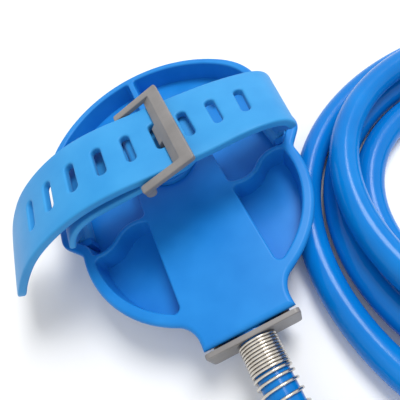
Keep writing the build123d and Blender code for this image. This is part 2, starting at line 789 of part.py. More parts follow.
with BuildPart() as end_ferrule:
    with BuildSketch(Plane.XZ.offset(-hose_end_y)):
        with Locations((connector_x, connector_z)):
            Circle(hose_radius + ferrule_clearance + ferrule_wall)
            Circle(hose_radius + ferrule_clearance, mode=Mode.SUBTRACT)
    extrude(amount=ferrule_length)
end_ferrule.part.label = "end_ferrule"
export_step(end_ferrule.part, "parts/end_ferrule.step")

with BuildPart() as connector_tail:
    with BuildSketch(connector_plane):
        tail_start_y = hose_end_y + barb_clearance
        tail_tip_y = tail_start_y - barb_length
        with BuildLine():
            Polyline(
                (tail_tip_y, barb_bore_radius),
                (tail_tip_y, barb_tip_radius),
                (tail_tip_y + barb_step, barb_radius),
                (tail_tip_y + barb_step, barb_tip_radius),
                (tail_tip_y + 2 * barb_step, barb_radius),
                (tail_tip_y + 2 * barb_step, barb_tip_radius),
                (tail_start_y, barb_radius),
                (tail_start_y, tail_neck_radius),
                (flange_y, tail_neck_radius),
                (flange_y, tail_flange_radius),
                (flange_end_y, tail_flange_radius),
                (flange_end_y, barb_bore_radius),
                close=True,
            )
        make_face()
    revolve(axis=connector_axis)
connector_tail.part.label = "connector_tail"
export_step(connector_tail.part, "parts/connector_tail.step")

with BuildPart() as sealing_washer:
    with BuildSketch(Plane.XZ.offset(-flange_end_y)):
        with Locations((connector_x, connector_z)):
            Circle(tail_flange_radius)
            Circle(washer_bore_radius, mode=Mode.SUBTRACT)
    extrude(amount=-washer_thickness)
sealing_washer.part.label = "sealing_washer"
export_step(sealing_washer.part, "parts/sealing_washer.step")

with BuildPart() as swivel_nut:
    with BuildSketch(connector_plane):
        nut_end_y = nut_y + nut_length
        relief_end_y = nut_y + nut_back_wall + nut_relief_length
        with BuildLine():
            Polyline(
                (nut_y, tail_neck_radius + tail_neck_clearance),
                (nut_y, nut_radius - nut_chamfer),
                (nut_y + nut_chamfer, nut_radius),
                (nut_end_y - nut_chamfer, nut_radius),
                (nut_end_y, nut_radius - nut_chamfer),
                (nut_end_y, thread_radius),
                (relief_end_y, thread_radius),
                (relief_end_y, nut_relief_radius),
                (nut_y + nut_back_wall, nut_relief_radius),
                (nut_y + nut_back_wall, tail_neck_radius + tail_neck_clearance),
                close=True,
            )
        make_face()
    revolve(axis=connector_axis)
    with BuildSketch(Plane.XZ.offset(-nut_y)):
        with Locations((connector_x, connector_z)):
            with PolarLocations(nut_radius + nut_flute_radius / 4, nut_flutes):
                Circle(nut_flute_radius)
    extrude(amount=-nut_length, mode=Mode.SUBTRACT)
swivel_nut.part.label = "swivel_nut"
export_step(swivel_nut.part, "parts/swivel_nut.step")

# Strap pins: steel pins in the body's lugs that the two straps are looped on
with BuildPart() as strap_pins:
    for side in (1, -1):
        with Locations(Location((side * anchor_x, leg_middle_y, anchor_z), (90, 0, 0))):
            Cylinder(pin_radius, pin_length)
strap_pins.part.label = "strap_pins"
export_step(strap_pins.part, "parts/strap_pins.step")

# Straps: both follow a line in the plane of the strap's middle, looped on a pin at the lower end
strap_plane = Plane.XZ.offset(-strap_y)
hand_strap_points = [
    (anchor_x, anchor_z),
    (anchor_x + hand_strap_bulge, 46.8),
    (12.5, 48.9),
    (-8, 51.3),
    (-20, 52.6),
    (-32, 51.9),
    (-44, 48.4),
    (-55.5, 42.6),
    (-65, 34.4),
    (-72, 26.6),
    (-77.5, 19.5),
]


def slot_plane(line, reach):
    """Plane on the strap's middle, so far along it from the pin, with its X axis across the strap."""
    share = reach / line.length
    here = strap_plane.from_local_coords(line.position_at(share))
    ahead = strap_plane.from_local_coords(line.position_at(share + 0.002))
    return Plane(origin=here, x_dir=(0, 1, 0), z_dir=(ahead - here).cross(Vector(0, 1, 0)))


def waist_outline():
    """What the strap's lower end is cut back by, seen along X, so that it fits between the lugs."""
    leg_base_z = anchor_z - 2 * loop_radius
    waist = strap_width
    Polygon(
        (anchor_leg_near_y - waist, leg_base_z),
        (anchor_leg_near_y, leg_base_z),
        (anchor_leg_near_y, anchor_leg_top_z),
        (anchor_leg_near_y - waist, anchor_leg_top_z + waist),
        align=None,
    )
    Polygon(
        (anchor_leg_far_y, leg_base_z),
        (anchor_leg_far_y + waist, leg_base_z),
        (anchor_leg_far_y + waist, anchor_leg_top_z + waist),
        (anchor_leg_far_y, anchor_leg_top_z),
        align=None,
    )


# Hand strap: silicone band from the right pin, over the hand and through the buckle, with a free tail
with BuildPart() as hand_strap:
    with BuildSketch(strap_plane):
        with BuildLine() as hand_line:
            FilletPolyline(*hand_strap_points, radius=route_radii(hand_strap_points))
        trace(line_width=strap_thickness)
    extrude(amount=strap_width / 2, both=True)
    tail_end = hand_strap.faces().sort_by(Axis.X)[0]
    fillet(tail_end.edges().filter_by(Axis.Y, reverse=True), tail_corner_radius)
    with BuildSketch(Plane.YZ.offset(anchor_x)):
        waist_outline()
    extrude(amount=loop_radius, both=True, mode=Mode.SUBTRACT)
    with Locations(Location((anchor_x, leg_middle_y, anchor_z), (90, 0, 0))):
        Cylinder(loop_radius, leg_width)
        Cylinder(pin_radius + loop_clearance, leg_width, mode=Mode.SUBTRACT)
    for slot in range(slot_count):
        with BuildSketch(slot_plane(hand_line.wire(), first_slot_reach + slot * slot_pitch)):
            SlotOverall(slot_length, slot_width)
        extrude(amount=strap_thickness, both=True, mode=Mode.SUBTRACT)
hand_strap.part.label = "hand_strap"
export_step(hand_strap.part, "parts/hand_strap.step")

# Buckle: hinged on its round bar, its tooth in one slot of the hand strap
engaged = slot_plane(hand_line.wire(), first_slot_reach + engaged_slot * slot_pitch).origin
print("engaged slot", engaged)
bar_x = engaged.X - bar_reach
bar_z = engaged.Z - bar_drop
cross_bar_left_x = engaged.X + cross_bar_reach
cross_bar_right_x = cross_bar_left_x + cross_bar_width
cross_bar_bottom_z = engaged.Z + strap_thickness / 2 + cross_bar_gap
cross_bar_top_z = cross_bar_bottom_z + cross_bar_height
frame_inner = strap_width / 2 + frame_side_gap
frame_outer = frame_inner + frame_side_width
with BuildPart() as buckle_frame:
    with BuildSketch(strap_plane) as cross_section:
        Polygon(
            (cross_bar_left_x, cross_bar_bottom_z),
            (cross_bar_right_x, cross_bar_bottom_z),
            (cross_bar_right_x, cross_bar_top_z),
            (cross_bar_left_x + cross_bar_chamfer, cross_bar_top_z),
            (cross_bar_left_x, cross_bar_top_z - cross_bar_chamfer),
            align=None,
        )
    extrude(amount=frame_outer, both=True)
    with BuildSketch(strap_plane.offset(frame_inner), strap_plane.offset(-frame_inner - frame_side_width)):
        Polygon(
            (cross_bar_left_x, cross_bar_bottom_z),
            (cross_bar_right_x, cross_bar_bottom_z),
            (cross_bar_right_x, cross_bar_top_z),
            (cross_bar_left_x, cross_bar_top_z),
            align=None,
        )
        with Locations((bar_x, bar_z)):
            Circle(frame_side_height / 2)
        make_hull()
    extrude(amount=frame_side_width)
    fillet(buckle_frame.edges().filter_by(Axis.Z).group_by(Axis.X)[-1], frame_round)
    with BuildSketch(strap_plane):
        with Locations((bar_x, bar_z)):
            Circle(bar_radius)
    extrude(amount=frame_inner, both=True)
    with BuildSketch(strap_plane):
        Polygon(
            (engaged.X + tooth_reach - tooth_thickness, engaged.Z - strap_thickness / 2),
            (engaged.X + tooth_reach, engaged.Z - strap_thickness / 2),
            (engaged.X + tooth_reach, cross_bar_bottom_z),
            (cross_bar_left_x + cross_bar_chamfer, cross_bar_bottom_z),
            (cross_bar_left_x + cross_bar_chamfer, cross_bar_top_z - cross_bar_chamfer),
            (engaged.X + tooth_reach - tooth_thickness, cross_bar_top_z - cross_bar_chamfer),
            align=None,
        )
    extrude(amount=tooth_width / 2, both=True)
buckle_frame.part.label = "buckle_frame"
export_step(buckle_frame.part, "parts/buckle_frame.step")

# Buckle strap: shorter band from the left pin, with a sleeve for the buckle's bar and a tongue
buckle_strap_points = [
    (-anchor_x, anchor_z),
    (-anchor_x - buckle_strap_bulge, bar_z - shoulder_drop),
    (bar_x, bar_z),
    (tongue_end_x, bar_z - tongue_drop),
]
with BuildPart() as buckle_strap:
    with BuildSketch(strap_plane):
        with BuildLine():
            FilletPolyline(*buckle_strap_points, radius=route_radii(buckle_strap_points))
        trace(line_width=buckle_strap_thickness)
    extrude(amount=buckle_strap_width / 2, both=True)
    tongue_end = buckle_strap.faces().sort_by(Axis.X)[-1]
    fillet(tongue_end.edges().filter_by(Axis.Y, reverse=True), tail_corner_radius)
    with BuildSketch(Plane.YZ.offset(-anchor_x)):
        waist_outline()
    extrude(amount=loop_radius, both=True, mode=Mode.SUBTRACT)
    with Locations(Location((-anchor_x, leg_middle_y, anchor_z), (90, 0, 0))):
        Cylinder(loop_radius, leg_width)
        Cylinder(pin_radius + loop_clearance, leg_width, mode=Mode.SUBTRACT)
    with Locations(Location((bar_x, strap_y, bar_z), (90, 0, 0))):
        Cylinder(bar_radius + bar_clearance + sleeve_wall, buckle_strap_width)
        Cylinder(bar_radius + bar_clearance, buckle_strap_width, mode=Mode.SUBTRACT)
buckle_strap.part.label = "buckle_strap"
export_step(buckle_strap.part, "parts/buckle_strap.step")
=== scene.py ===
"""Palm-worn bathing sprayer: soft pieces, buckle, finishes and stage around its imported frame."""
import math

import bmesh
import bpy
from bpy.props import FloatProperty, FloatVectorProperty, IntProperty, PointerProperty
from mathutils import Matrix, Vector


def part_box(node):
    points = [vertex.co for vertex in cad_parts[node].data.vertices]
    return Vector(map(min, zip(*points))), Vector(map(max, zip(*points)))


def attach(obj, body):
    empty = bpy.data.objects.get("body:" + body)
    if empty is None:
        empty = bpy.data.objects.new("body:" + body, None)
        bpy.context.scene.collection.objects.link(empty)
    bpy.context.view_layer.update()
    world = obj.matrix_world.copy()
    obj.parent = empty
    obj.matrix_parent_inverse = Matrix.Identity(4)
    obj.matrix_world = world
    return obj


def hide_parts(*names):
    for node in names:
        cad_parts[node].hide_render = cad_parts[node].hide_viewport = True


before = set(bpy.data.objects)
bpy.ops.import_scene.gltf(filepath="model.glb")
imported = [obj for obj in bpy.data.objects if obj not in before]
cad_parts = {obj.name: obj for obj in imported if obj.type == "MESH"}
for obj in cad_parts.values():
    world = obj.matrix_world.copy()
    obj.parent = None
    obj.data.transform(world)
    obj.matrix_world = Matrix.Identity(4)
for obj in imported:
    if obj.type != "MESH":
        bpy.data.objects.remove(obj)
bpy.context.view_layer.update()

bl_info = {
    "name": "Bathing Sprayer",
    "version": (1, 0, 0),
    "blender": (4, 5, 0),
    "location": "3D View > Sidebar > Sprayer",
    "description": "Soft pieces, finishes and stage of a palm-worn bathing sprayer",
    "category": "Object",
}

MM = 0.001


def linear(code):
    """Linear RGB of an sRGB hex colour."""
    parts = [int(code[place:place + 2], 16) / 255 for place in (1, 3, 5)]
    return tuple(
        part / 12.92 if part <= 0.04045 else ((part + 0.055) / 1.055) ** 2.4 for part in parts
    )


def size_property(label, description, millimetres):
    """A length that a user may change, given in millimetres."""
    return FloatProperty(
        name=label, description=description, default=millimetres * MM, unit="LENGTH", precision=5
    )


def colour_property(label, description, code):
    """A colour that a user may change, given as sRGB hex."""
    return FloatVectorProperty(
        name=label,
        description=description,
        default=linear(code),
        subtype="COLOR",
        size=3,
        min=0,
        max=1,
    )


class SprayerSizes(bpy.types.PropertyGroup):
    """Sizes of the pieces that are made here."""

    hose_radius: size_property("Hose radius", "Outer radius of the PVC hose", 5.5)
    hose_length: size_property("Hose length", "Length of the hose from barb to barb", 2110)
    wire_radius: size_property("Spring wire radius", "Radius of the strain relief's wire", 0.45)
    spring_radius: size_property(
        "Spring radius", "Radius of the strain relief's windings, at the wire's middle", 6.3
    )
    strap_width: size_property("Strap width", "Width of the hand strap", 32)
    strap_thickness: size_property("Strap thickness", "Thickness of the hand strap", 3)
    buckle_strap_width: size_property(
        "Buckle strap width", "Width of the strap that carries the buckle", 30
    )
    buckle_strap_thickness: size_property(
        "Buckle strap thickness", "Thickness of the strap that carries the buckle", 2.4
    )
    slot_length: size_property("Slot length", "Length of a strap slot, across the strap", 12.8)
    slot_width: size_property("Slot width", "Width of a strap slot, along the strap", 3.4)
    slot_pitch: size_property("Slot pitch", "Distance from one strap slot to the next", 10.8)
    slot_count: IntProperty(
        name="Slots", description="Number of slots in the hand strap", default=9, min=1
    )
    strap_rounding: size_property(
        "Strap rounding", "Radius of the moulded edges of both straps", 0.8
    )
    pad_rounding: size_property("Pad rounding", "Radius of the scrub pad's moulded edges", 0.9)
    floor_side: size_property("Floor side", "Side of the square floor", 6000)


class SprayerColours(bpy.types.PropertyGroup):
    """Colours of the finishes."""

    body: colour_property("Body", "Moulded ABS of the body", "#2186D6")
    body_deep: colour_property("Body, deep", "The same ABS where it is a shade deeper", "#177DCE")
    strap: colour_property("Strap", "Moulded silicone of the straps and the pad", "#3598D8")
    strap_deep: colour_property(
        "Strap, deep", "The same silicone where it is a shade deeper", "#2C90D2"
    )
    hose: colour_property("Hose", "Extruded PVC of the hose", "#0882D6")
    hose_deep: colour_property("Hose, deep", "The same PVC where it is a shade deeper", "#0576C9")
    grey: colour_property("Grey", "Moulded grey ABS of buckle and cap", "#868382")
    grey_deep: colour_property("Grey, deep", "The same grey where it is a shade deeper", "#7A7776")
    floor: colour_property("Floor", "Painted table top", "#F7F8F9")
    floor_deep: colour_property(
        "Floor, deep", "The same paint where it is a shade deeper", "#F5F6F7"
    )


# All lengths and places from here to the materials are in millimetres, in the part's frame.

# Camera of the photograph, and the directions to its right and behind it
CAMERA_PLACE = (6.6, -96.22, 134.06)
CAMERA_RIGHT = (0.8835, -0.3778, -0.2769)
CAMERA_BACK = (0.0145, -0.5688, 0.8223)
CAMERA_SENSOR, CAMERA_LENS = 36.0, 31.14
CAMERA_NEAREST = 5

# Hose: out of the cap, round its coil on the table, and up to the connector
NECK_HOSE_Z = 15.1
CAP_FRONT_Y = -72.5
LIE_Z = 5.6
LAYER_RISE = 11.6
COIL_X, COIL_Y = 117.8, -80.4
COIL_DRIFT = 3.4
COIL_OUTER_RADIUS = 97.0
COIL_INWARD_STEP = 16.5
COIL_OUTWARD_STEP = 13.0
COIL_LOWER_TURNS = 2.75
COIL_CLIMB_TURNS = 0.5
COIL_TURNS = 4.25
COIL_TOP_SHIFT = 8.5
COIL_TOP_SLIDE, COIL_SLIDE_TURNS = 6.0, 0.75
COIL_RIGHT_SQUEEZE, COIL_FRONT_SQUEEZE = 0.88, 0.95
COIL_POINTS_PER_TURN = 30
CONNECTOR_X, CONNECTOR_Z = 177.2, 13.2
LEAD_POINTS = (
    (0, -57.05, NECK_HOSE_Z),
    (0, -86, NECK_HOSE_Z),
    (0, -112, NECK_HOSE_Z),
    (7, -138, 10.4),
    (28, -157, 6.2),
    (59, -169, LIE_Z),
    (90, -173.3, LIE_Z),
)
TAIL_POINTS = (
    (178, -35, 17.2),
    (CONNECTOR_X, -10, 17.2),
    (CONNECTOR_X, 22, CONNECTOR_Z),
    (CONNECTOR_X, 48, CONNECTOR_Z),
)

# Strain relief: windings that touch, and then windings that open
SPRING_START_Y = CAP_FRONT_Y - 0.6
CLOSE_WINDINGS, CLOSE_PITCH = 10, 0.96
OPEN_PITCHES = (1.5, 2.0, 2.6, 3.3, 3.8)
POINTS_PER_WINDING = 36

# Both straps: the legs between the lugs, and the loops round the pins
STRAP_Y = -6.8
PIN_X, PIN_Z = 46.3, 17.6
PIN_HOLE_RADIUS, LOOP_RADIUS, LOOP_ROUNDING = 1.6, 3.7, 0.6
LEG_NEAR_Y, LEG_FAR_Y = -8.5, 9.0
LEG_TOP_Z = 23.6
LEG_CORNER_RADIUS, LEG_WAIST_RADIUS, LEG_STEP_RADIUS = 0.4, 3.0, 0.1
STRAP_END_RADIUS = 12.0
STRAP_CUT_STEP = 1.5
STRAP_SHARP_DEGREES = 50

# Hand strap: its line, from the pin to the loose end, as (x, z)
HAND_STRAP_LINE = (
    (PIN_X, PIN_Z),
    (PIN_X + 0.7, 27.0),
    (PIN_X + 2.9, 41.5),
    (33.0, 47.0),
    (12.5, 48.9),
    (-8, 51.3),
    (-20, 52.6),
    (-32, 51.9),
    (-44, 48.4),
    (-55.5, 42.6),
    (-65, 34.4),
    (-72, 26.6),
    (-77.5, 19.5),
)
# Its far edge swings out and rolls down at the first bend, so much for each millimetre of width.
# This comes and goes between two reaches of the line.
SHOULDER_SWING, SHOULDER_ROLL = 0.2, 0.13
SHOULDER_START, SHOULDER_RISE = 4, 14
SHOULDER_END, SHOULDER_FALL = 62, 36
# The slot that holds the tooth, counted from 0, where it is, and how nearly half round its ends are
ENGAGED_SLOT, ENGAGED_X = 3, 1.92
SLOT_END_ROUND = 0.98

# Buckle strap: its line and the sleeve round the buckle's bar
BAR_X, BAR_Z = -8.08, 46.84
BAR_HOLE_RADIUS, SLEEVE_RADIUS, SLEEVE_ROUNDING = 1.55, 2.75, 0.4
BUCKLE_STRAP_LINE = (
    (-PIN_X, PIN_Z),
    (-PIN_X - 0.3, BAR_Z - 0.8),
    (BAR_X, BAR_Z),
    (16.0, BAR_Z - 1.3),
)

# Buckle: a flat frame that slopes down from its front edge, and blocks below it. Each block has the
# (x, z, radius) corners of its side.
FRAME_EDGE_X, FRAME_EDGE_Z, FRAME_SLOPE = 9.6, 55.95, 0.233
FRAME_END_X, CROSS_BAR_X = -9.8, 5.3
FRAME_INNER, FRAME_OUTER, FRAME_THICKNESS = 17.0, 20.2, 1.9
FRAME_CORNER_RADIUS, ARM_END_RADIUS, WINDOW_CORNER_RADIUS = 1.0, 0.9, 0.6
FRAME_ROUNDING = 0.4
FRAME_SHARP_DEGREES = 40
INNER_WALL = ((2.6, 52.15, 0.25), (4.6, 52.15, 0.5), (8.4, 54.0, 0.3), (5.7, 54.95, 0.2))
WALL_END_OVERLAP, WALL_ROUNDING = 0.3, 0.2
TOOTH = (
    (1.5, 48.7, 0.3),
    (3.2, 48.7, 0.3),
    (4.3, 52.5, 0.2),
    (3.2, 52.69, 0.2),
    (1.5, 51.16, 0.3),
)
TOOTH_HALF_WIDTH, TOOTH_ROUNDING = 4.5, 0.3
EAR = (
    (BAR_X - 1.7, BAR_Z - 1.7, 1.69),
    (BAR_X + 1.7, BAR_Z - 1.7, 1.69),
    (BAR_X + 3.1, 51.2, 0.4),
    (BAR_X - 1.4, 50.6, 0.4),
)
EAR_OFFSET, EAR_HALF_WIDTH, EAR_ROUNDING = 0.55, 0.6, 0.25
# The bar is a square block with its corners rounded almost to their middle
BAR_RADIUS, BAR_ROUND = 1.5, 0.999
SQUARE = ((-1, -1), (1, -1), (1, 1), (-1, 1))

# Scrub pad: rings of nubs and of jet windows as (radius, count), and pockets for the screws
PAD_THICKNESS = 2.5
PAD_OUTLINE_STEP = 2
PAD_SHARP_DEGREES = 60
NUB_RINGS = ((13.0, 6), (26.0, 12), (39.0, 18))
NUB_HEIGHT, NUB_BASE_RADIUS, NUB_TIP_RADIUS = 5.0, 2.7, 1.7
# The flared root of a nub as (radius, height)
NUB_ROOT = (
    (NUB_BASE_RADIUS + 0.5, 0.2),
    (NUB_BASE_RADIUS + 0.5, 0.0),
    (NUB_BASE_RADIUS + 0.1, -0.35),
    (NUB_BASE_RADIUS - 0.15, -1.0),
)
NUB_TIP_STEPS, NUB_SIDES = 6, 20
JET_RINGS = ((19.5, 9), (32.5, 15))
JET_WINDOW_RADIUS, JET_WINDOW_SIDES = 1.7, 20
SCREW_PLACES = ((36.0, 36.0), (-36.0, 36.0), (13.2, -45.0), (-13.2, -45.0))
SCREW_POCKET_RADIUS, SCREW_POCKET_SIDES = 3.0, 28

# Stage: lamps as (name, place, side, watts), and the world's strength as light and as background
LAMPS = (
    ("Key_softbox", (430, 200, 900), 420, 7.5),
    ("Fill_softbox", (-300, -500, 800), 700, 0.9),
)
WHITE = (1, 1, 1, 1)
LIGHT_STRENGTH, BACKGROUND_STRENGTH = 0.56, 1.0


# Materials

# Sockets of a Mix node that mixes two colours
MIX_FACTOR, MIX_FIRST, MIX_SECOND, MIX_RESULT = 0, 6, 7, 2
# Part of the noise that the cloudy colour of a plastic spreads over
MOTTLE_LOW, MOTTLE_HIGH = 0.35, 0.65
# How far roughness swings below and above its middle
PLASTIC_SWING = (0.06, 0.06)
METAL_SWING = (0.05, 0.08)


def add_node(tree, kind, settings=(), values=(), links=()):
    """Adds a node, sets its attributes and socket values, and links sockets to its inputs."""
    node = tree.nodes.new(kind)
    for name, value in dict(settings).items():
        setattr(node, name, value)
    for name, value in dict(values).items():
        node.inputs[name].default_value = value
    for name, source in dict(links).items():
        tree.links.new(source, node.inputs[name])
    return node


def start_material(name):
    """A material with one shader, and object coordinates in metres."""
    material = bpy.data.materials.new(name)
    material.use_nodes = True
    tree = material.node_tree
    tree.nodes.clear()
    shader = add_node(tree, "ShaderNodeBsdfPrincipled")
    add_node(tree, "ShaderNodeOutputMaterial", links={"Surface": shader.outputs["BSDF"]})
    place = add_node(tree, "ShaderNodeTexCoord").outputs["Object"]
    return material, tree, shader, place


def dress_shader(tree, shader, tones, share, grain, roughness, swing, depth_mm):
    """Gives a shader two tones mixed by share, and gloss and relief that follow the grain."""
    colour = add_node(
        tree,
        "ShaderNodeMix",
        settings={"data_type": "RGBA"},
        values={MIX_FIRST: (*tones[0], 1), MIX_SECOND: (*tones[1], 1)},
        links={MIX_FACTOR: share},
    )
    gloss = add_node(
        tree,
        "ShaderNodeMapRange",
        values={"To Min": roughness - swing[0], "To Max": roughness + swing[1]},
        links={"Value": grain},
    )
    bump = add_node(
        tree,
        "ShaderNodeBump",
        values={"Strength": 1.0, "Distance": depth_mm * MM},
        links={"Height": grain},
    )
    tree.links.new(colour.outputs[MIX_RESULT], shader.inputs["Base Color"])
    tree.links.new(gloss.outputs["Result"], shader.inputs["Roughness"])
    tree.links.new(bump.outputs["Normal"], shader.inputs["Normal"])


def moulded(name, tones, roughness, grain_mm, grain_depth_mm, mottle_mm, sockets=()):
    """Moulded, extruded or painted surface: fine grain, faint cloudy colour and uneven gloss."""
    material, tree, shader, place = start_material(name)
    mottle = add_node(
        tree,
        "ShaderNodeTexNoise",
        values={"Scale": 1 / (mottle_mm * MM), "Detail": 3.0},
        links={"Vector": place},
    )
    share = add_node(
        tree,
        "ShaderNodeMapRange",
        values={"From Min": MOTTLE_LOW, "From Max": MOTTLE_HIGH},
        links={"Value": mottle.outputs["Fac"]},
    ).outputs["Result"]
    grain = add_node(
        tree,
        "ShaderNodeTexNoise",
        values={"Scale": 1 / (grain_mm * MM), "Detail": 2.0, "Roughness": 0.6},
        links={"Vector": place},
    ).outputs["Fac"]
    dress_shader(tree, shader, tones, share, grain, roughness, PLASTIC_SWING, grain_depth_mm)
    for socket, value in dict(sockets).items():
        shader.inputs[socket].default_value = value
    return material


def metal(name, codes, roughness, mark_mm, mark_depth_mm):
    """Metal with fine drawing or polishing marks and a slightly uneven tone."""
    material, tree, shader, place = start_material(name)
    marks = add_node(
        tree,
        "ShaderNodeTexNoise",
        values={"Scale": 1 / (mark_mm * MM), "Detail": 4.0, "Roughness": 0.65},
        links={"Vector": place},
    ).outputs["Fac"]
    tones = [linear(code) for code in codes]
    dress_shader(tree, shader, tones, marks, marks, roughness, METAL_SWING, mark_depth_mm)
    shader.inputs["Metallic"].default_value = 1.0
    return material


def make_finishes(tone):
    """Makes every finish of the part, with the chosen colours.

    Real mould grain is about a tenth of a millimetre wide and real drawing marks are narrower, too
    fine to show in the render, so both are drawn several times as coarse.
    """
    # ABS, injection moulded with a satin spark texture: soft broad highlights
    moulded(
        "ABS_satin_blue",
        (tone.body, tone.body_deep),
        roughness=0.38,
        grain_mm=0.5,
        grain_depth_mm=0.006,
        mottle_mm=16,
        sockets={"Specular IOR Level": 0.2},
    )
    # Silicone rubber, compression moulded: matt, with a soft bright bloom at grazing angles
    moulded(
        "Silicone_blue",
        (tone.strap, tone.strap_deep),
        roughness=0.5,
        grain_mm=0.6,
        grain_depth_mm=0.008,
        mottle_mm=14,
        sockets={"Specular IOR Level": 0.25, "Sheen Weight": 0.06, "Sheen Roughness": 0.5},
    )
    # PVC, extruded: a smooth, faintly wavy skin that gives narrow highlights along the hose
    moulded(
        "PVC_gloss_blue",
        (tone.hose, tone.hose_deep),
        roughness=0.17,
        grain_mm=1.8,
        grain_depth_mm=0.003,
        mottle_mm=30,
        sockets={"Specular IOR Level": 0.2},
    )
    # ABS, injection moulded in grey with a satin texture: dull even highlights
    moulded(
        "ABS_satin_grey",
        (tone.grey, tone.grey_deep),
        roughness=0.42,
        grain_mm=0.45,
        grain_depth_mm=0.008,
        mottle_mm=8,
        sockets={"IOR": 1.53},
    )
    # Nitrile rubber, compression moulded: black and dull
    moulded(
        "Nitrile_black",
        (linear("#1B1C1D"), linear("#242526")),
        roughness=0.65,
        grain_mm=0.5,
        grain_depth_mm=0.02,
        mottle_mm=6,
        sockets={"IOR": 1.52},
    )
    # Spring steel, drawn wire: bright, with faint drawing marks
    metal(
        "Spring_steel_drawn",
        ("#D8D2C8", "#B9B3AA"),
        roughness=0.22,
        mark_mm=0.35,
        mark_depth_mm=0.003,
    )
    # Brass, turned: warm yellow, half bright
    metal("Brass_turned", ("#D9B66A", "#C29C50"), roughness=0.28, mark_mm=0.4, mark_depth_mm=0.004)
    # Aluminium, drawn tube: pale and slightly matt
    metal(
        "Aluminium_drawn", ("#D4D5D7", "#BFC1C4"), roughness=0.34, mark_mm=0.4, mark_depth_mm=0.004
    )
    # Chrome on brass, polished: near mirror
    metal(
        "Chrome_polished", ("#DADBDD", "#CFD0D3"), roughness=0.1, mark_mm=0.8, mark_depth_mm=0.001
    )


def get_finish(name):
    """The finish of that name. All are made when the first is asked for."""
    if name not in bpy.data.materials:
        make_finishes(bpy.context.scene.sprayer_colours)
    return bpy.data.materials[name]


# Shapes


def add_piece(name, data, finish, body, slot, *replaced):
    """An object of that mesh or curve, which rides on a body and stands for CAD nodes."""
    piece = bpy.data.objects.new(name, data)
    bpy.context.scene.collection.objects.link(piece)
    data.materials.append(get_finish(finish))
    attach(piece, body)
    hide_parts(*replaced)
    return piece


def finished_mesh(name, shape, sharp_degrees):
    """A mesh of that shape, smooth apart from edges sharper than that angle."""
    bmesh.ops.recalc_face_normals(shape, faces=shape.faces)
    mesh = bpy.data.meshes.new(name)
    shape.to_mesh(mesh)
    shape.free()
    mesh.polygons.foreach_set("use_smooth", [True] * len(mesh.polygons))
    mesh.set_sharp_from_angle(angle=math.radians(sharp_degrees))
    return mesh


def tube_curve(name, kind, spots, radius, bevel_steps):
    """A round tube on a spline of that kind with these spots as its points, in metres."""
    curve = bpy.data.curves.new(name, "CURVE")
    curve.dimensions = "3D"
    curve.bevel_depth = radius
    curve.bevel_resolution = bevel_steps
    curve.use_fill_caps = True
    spline = curve.splines.new(kind)
    spline.points.add(len(spots) - 1)
    for point, spot in zip(spline.points, spots):
        point.co = (*spot, 1)
    return curve, spline


def in_metres(corners):
    """Corners given in millimetres, in metres."""
    return [tuple(value * MM for value in corner) for corner in corners]


def ease(share):
    """A share from 0 to 1 with a gentle start and end. Values outside are held at 0 or 1."""
    share = min(max(share, 0), 1)
    return share * share * (3 - 2 * share)


def circle_loop(x, y, radius, count, clockwise):
    """Points of a circle, in metres."""
    turn = -1 if clockwise else 1
    angles = [turn * 2 * math.pi * step / count for step in range(count)]
    return [Vector((x + radius * math.cos(a), y + radius * math.sin(a))) for a in angles]


def ring_places(rings):
    """Evenly spread places on (radius, count) rings round the origin."""
    places = []
    for radius, count in rings:
        angles = [2 * math.pi * step / count for step in range(count)]
        places += [(radius * math.cos(angle), radius * math.sin(angle)) for angle in angles]
    return places


def rounded_loop(corners, steps=8):
    """A closed outline through (x, y, radius) corners, each rounded by an arc."""
    loop = []
    count = len(corners)
    for index, (x, y, radius) in enumerate(corners):
        corner = Vector((x, y))
        before = (Vector(corners[index - 1][:2]) - corner).normalized()
        after = (Vector(corners[(index + 1) % count][:2]) - corner).normalized()
        half = before.angle(after) / 2
        centre = corner + (before + after).normalized() * (radius / math.sin(half))
        start = corner + before * (radius / math.tan(half)) - centre
        end = corner + after * (radius / math.tan(half)) - centre
        sweep = start.angle_signed(end)
        for step in range(steps + 1):
            turned = start.copy()
            turned.rotate(Matrix.Rotation(-sweep * step / steps, 2))
            loop.append(centre + turned)
    return loop


def top_outline(mesh, top_z, longest, level_within=1e-5, digits=6):
    """The outer edge of a mesh's flat top, anticlockwise, with no gap longer than that."""
    edges = set()
    for face in mesh.polygons:
        spots = [mesh.vertices[index].co for index in face.vertices]
        if all(abs(spot.z - top_z) < level_within for spot in spots):
            places = [(round(spot.x, digits), round(spot.y, digits)) for spot in spots]
            for start, end in zip(places, places[1:] + places[:1]):
                if (end, start) in edges:
                    edges.remove((end, start))
                else:
                    edges.add((start, end))
    ahead = dict(sorted(edges))
    loops = []
    while ahead:
        start, place = ahead.popitem()
        loop = [start]
        while place != start:
            loop.append(place)
            place = ahead.pop(place)
        loops.append(loop)
    outer = [Vector(place) for place in max(loops, key=lambda loop: max(loop)[0])]
    points = []
    for start, end in zip(outer, outer[1:] + outer[:1]):
        count = math.ceil((end - start).length / longest)
        points += [start.lerp(end, step / count) for step in range(count)]
    return points


def bridge_rings(shape, ring, after):
    """Adds the faces between two rings of points."""
    count = len(ring)
    for index in range(count):
        ahead = (index + 1) % count
        shape.faces.new((ring[index], ring[ahead], after[ahead], after[index]))


